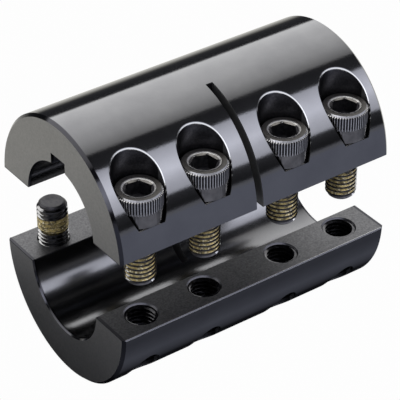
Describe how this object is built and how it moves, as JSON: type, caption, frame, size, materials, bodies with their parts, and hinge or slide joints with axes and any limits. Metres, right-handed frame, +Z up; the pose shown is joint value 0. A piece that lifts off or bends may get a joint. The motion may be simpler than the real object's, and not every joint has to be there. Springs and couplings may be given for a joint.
{
  "type": "rigid shaft coupling",
  "caption": "Split rigid shaft coupling in two keyed half cylinders with opposing rows of socket head clamp screws, shown opened with its upper half lifted off.",
  "frame": {"origin": "on the lower half's bore axis, at mid-length", "axes": "+X along the bore, +Z up from the lower half to the upper half, -Y towards the front row of screws"},
  "size_m": [0.0636, 0.0412, 0.0573],
  "materials": {
    "black_oxide_body": "black oxide, polished",
    "black_oxide_screw": "black oxide, satin",
    "nylon_patch": "yellow nylon, rubbed into the thread"
  },
  "bodies": {
    "lower_half": {"lower_half": "black_oxide_body"},
    "upper_half": {"upper_half": "black_oxide_body"},
    "front_travel_1": {"front_patch_1": "nylon_patch"},
    "front_travel_2": {"front_patch_2": "nylon_patch"},
    "front_travel_3": {"front_patch_3": "nylon_patch"},
    "front_travel_4": {"front_patch_4": "nylon_patch"},
    "rear_travel_1": {"rear_patch_1": "nylon_patch"},
    "rear_travel_2": {"rear_patch_2": "nylon_patch"},
    "rear_travel_3": {"rear_patch_3": "nylon_patch"},
    "rear_travel_4": {"rear_patch_4": "nylon_patch"},
    "front_screw_1": {"front_screw_1": "black_oxide_screw"},
    "front_screw_2": {"front_screw_2": "black_oxide_screw"},
    "front_screw_3": {"front_screw_3": "black_oxide_screw"},
    "front_screw_4": {"front_screw_4": "black_oxide_screw"},
    "rear_screw_1": {"rear_screw_1": "black_oxide_screw"},
    "rear_screw_2": {"rear_screw_2": "black_oxide_screw"},
    "rear_screw_3": {"rear_screw_3": "black_oxide_screw"},
    "rear_screw_4": {"rear_screw_4": "black_oxide_screw"}
  },
  "joints": [
    {"name": "upper_half_lift", "type": "slide", "parent": "lower_half", "child": "upper_half", "axis": [0, 0, 1], "range_m": [-0.0161, 0.02]},
    {"name": "front_screw_1_travel", "type": "slide", "parent": "upper_half", "child": "front_travel_1", "axis": [0, 0, 1], "range_m": [0, 0.00816]},
    {"name": "front_screw_2_travel", "type": "slide", "parent": "upper_half", "child": "front_travel_2", "axis": [0, 0, 1], "range_m": [0, 0.00816]},
    {"name": "front_screw_3_travel", "type": "slide", "parent": "upper_half", "child": "front_travel_3", "axis": [0, 0, 1], "range_m": [0, 0.00816]},
    {"name": "front_screw_4_travel", "type": "slide", "parent": "upper_half", "child": "front_travel_4", "axis": [0, 0, 1], "range_m": [0, 0.00816]},
    {"name": "rear_screw_1_travel", "type": "slide", "parent": "lower_half", "child": "rear_travel_1", "axis": [0, 0, -1], "range_m": [0, 0.00816]},
    {"name": "rear_screw_2_travel", "type": "slide", "parent": "lower_half", "child": "rear_travel_2", "axis": [0, 0, -1], "range_m": [0, 0.00816]},
    {"name": "rear_screw_3_travel", "type": "slide", "parent": "lower_half", "child": "rear_travel_3", "axis": [0, 0, -1], "range_m": [0, 0.00816]},
    {"name": "rear_screw_4_travel", "type": "slide", "parent": "lower_half", "child": "rear_travel_4", "axis": [0, 0, -1], "range_m": [0, 0.00816]},
    {"name": "front_screw_1_turn", "type": "hinge", "parent": "front_travel_1", "child": "front_screw_1", "pos_m": [-0.0242, -0.0154, 0.0221], "axis": [0, 0, 1], "range_deg": [0, 3240]},
    {"name": "front_screw_2_turn", "type": "hinge", "parent": "front_travel_2", "child": "front_screw_2", "pos_m": [-0.00935, -0.0154, 0.0221], "axis": [0, 0, 1], "range_deg": [0, 3240]},
    {"name": "front_screw_3_turn", "type": "hinge", "parent": "front_travel_3", "child": "front_screw_3", "pos_m": [0.00935, -0.0154, 0.0221], "axis": [0, 0, 1], "range_deg": [0, 3240]},
    {"name": "front_screw_4_turn", "type": "hinge", "parent": "front_travel_4", "child": "front_screw_4", "pos_m": [0.0242, -0.0154, 0.0221], "axis": [0, 0, 1], "range_deg": [0, 3240]},
    {"name": "rear_screw_1_turn", "type": "hinge", "parent": "rear_travel_1", "child": "rear_screw_1", "pos_m": [-0.0242, 0.0154, -0.006], "axis": [0, 0, -1], "range_deg": [0, 3240]},
    {"name": "rear_screw_2_turn", "type": "hinge", "parent": "rear_travel_2", "child": "rear_screw_2", "pos_m": [-0.00935, 0.0154, -0.006], "axis": [0, 0, -1], "range_deg": [0, 3240]},
    {"name": "rear_screw_3_turn", "type": "hinge", "parent": "rear_travel_3", "child": "rear_screw_3", "pos_m": [0.00935, 0.0154, -0.006], "axis": [0, 0, -1], "range_deg": [0, 3240]},
    {"name": "rear_screw_4_turn", "type": "hinge", "parent": "rear_travel_4", "child": "rear_screw_4", "pos_m": [0.0242, 0.0154, -0.006], "axis": [0, 0, -1], "range_deg": [0, 3240]}
  ],
  "couplings": [
    {"joint": "front_screw_1_turn", "follows": "front_screw_1_travel", "rad_per_m": 6926.4},
    {"joint": "front_screw_2_turn", "follows": "front_screw_2_travel", "rad_per_m": 6926.4},
    {"joint": "front_screw_3_turn", "follows": "front_screw_3_travel", "rad_per_m": 6926.4},
    {"joint": "front_screw_4_turn", "follows": "front_screw_4_travel", "rad_per_m": 6926.4},
    {"joint": "rear_screw_1_turn", "follows": "rear_screw_1_travel", "rad_per_m": 6926.4},
    {"joint": "rear_screw_2_turn", "follows": "rear_screw_2_travel", "rad_per_m": 6926.4},
    {"joint": "rear_screw_3_turn", "follows": "rear_screw_3_travel", "rad_per_m": 6926.4},
    {"joint": "rear_screw_4_turn", "follows": "rear_screw_4_travel", "rad_per_m": 6926.4}
  ]
}
